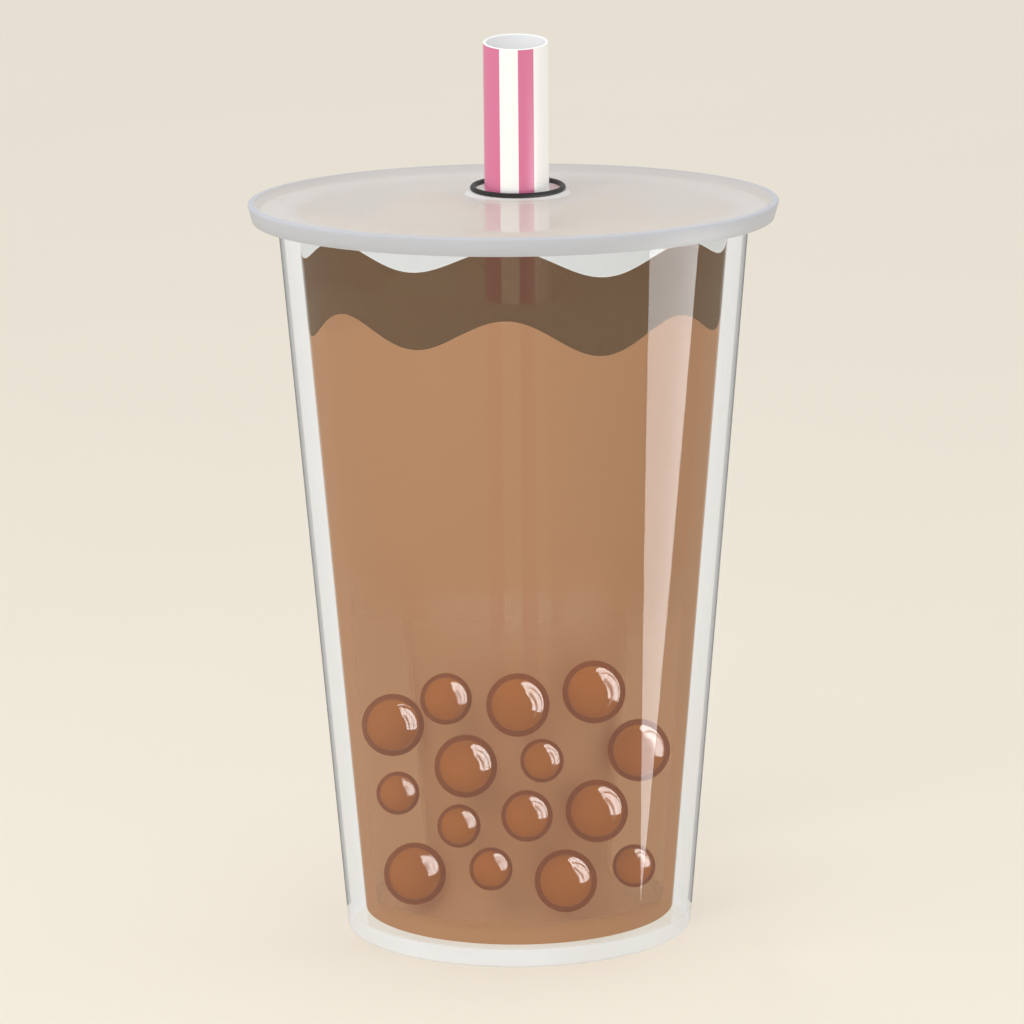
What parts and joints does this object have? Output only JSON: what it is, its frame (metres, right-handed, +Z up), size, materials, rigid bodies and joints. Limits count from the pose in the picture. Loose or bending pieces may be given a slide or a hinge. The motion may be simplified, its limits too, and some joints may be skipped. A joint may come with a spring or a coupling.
{
  "type": "bubble tea",
  "caption": "Tall clear cup of milk tea with a wavy dark layer, tapioca pearls low in the drink, a flat lid and a wide striped straw.",
  "frame": {"origin": "centre of the cup's foot, on the surface it stands on", "axes": "+Z up along the cup's axis, -Y to the front, towards which the straw leans, +X to the right"},
  "size_m": [0.098, 0.098, 0.1678],
  "materials": {
    "cup": "clear thick acrylic, polished",
    "milk_tea": "opaque milky drink, wet where it shows",
    "dark_layer": "dark translucent syrup tea",
    "lid": "frosted translucent plastic",
    "straw_seal": "satin",
    "straw": "pink and white stripes along its length, semi gloss",
    "pearl": "cooked tapioca, smooth and wet"
  },
  "bodies": {
    "root": {"cup": "cup", "milk_tea": "milk_tea", "dark_layer": "dark_layer", "lid": "lid", "straw_seal": "straw_seal", "straw": "straw"}
  },
  "joints": []
}
